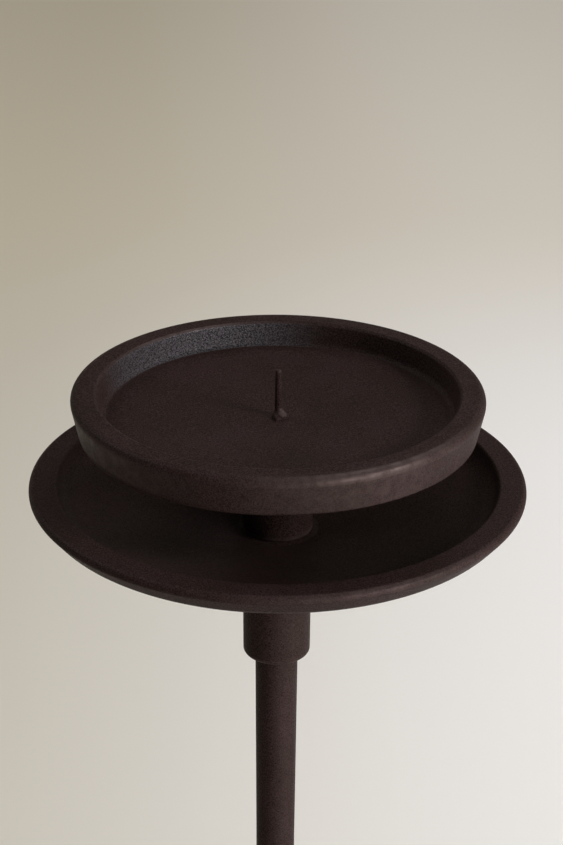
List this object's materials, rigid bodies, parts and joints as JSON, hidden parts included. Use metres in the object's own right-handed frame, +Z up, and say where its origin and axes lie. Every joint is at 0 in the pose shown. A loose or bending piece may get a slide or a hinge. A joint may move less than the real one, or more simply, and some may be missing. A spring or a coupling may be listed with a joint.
{
  "type": "tripod candlestick",
  "caption": "Pricket candlestick: shallow candle pan over a wide drip dish, on a slender tapered stem with an arched tripod base.",
  "frame": {"origin": "on the floor, on the stem's axis", "axes": "+Z up along the stem; -Y is the front, where one leg points; +X to the right seen from the front"},
  "size_m": [0.22, 0.1992, 0.4065],
  "materials": {
    "iron": "fine-grained dark brown coating, semi-matt",
    "plated_steel": "zinc plated, satin",
    "felt": "dark pressed felt"
  },
  "bodies": {
    "root": {"candle_pan": "iron", "pricket": "iron", "neck": "iron", "drip_dish": "iron", "stem_socket": "iron", "tie_stud": "plated_steel", "stem": "iron", "hub": "iron", "hub_washer": "plated_steel", "hub_bolt": "plated_steel", "leg_set_screws": "plated_steel", "leg_front": "iron", "foot_pad_front": "felt", "leg_right": "iron", "foot_pad_right": "felt", "leg_left": "iron", "foot_pad_left": "felt"}
  },
  "joints": []
}
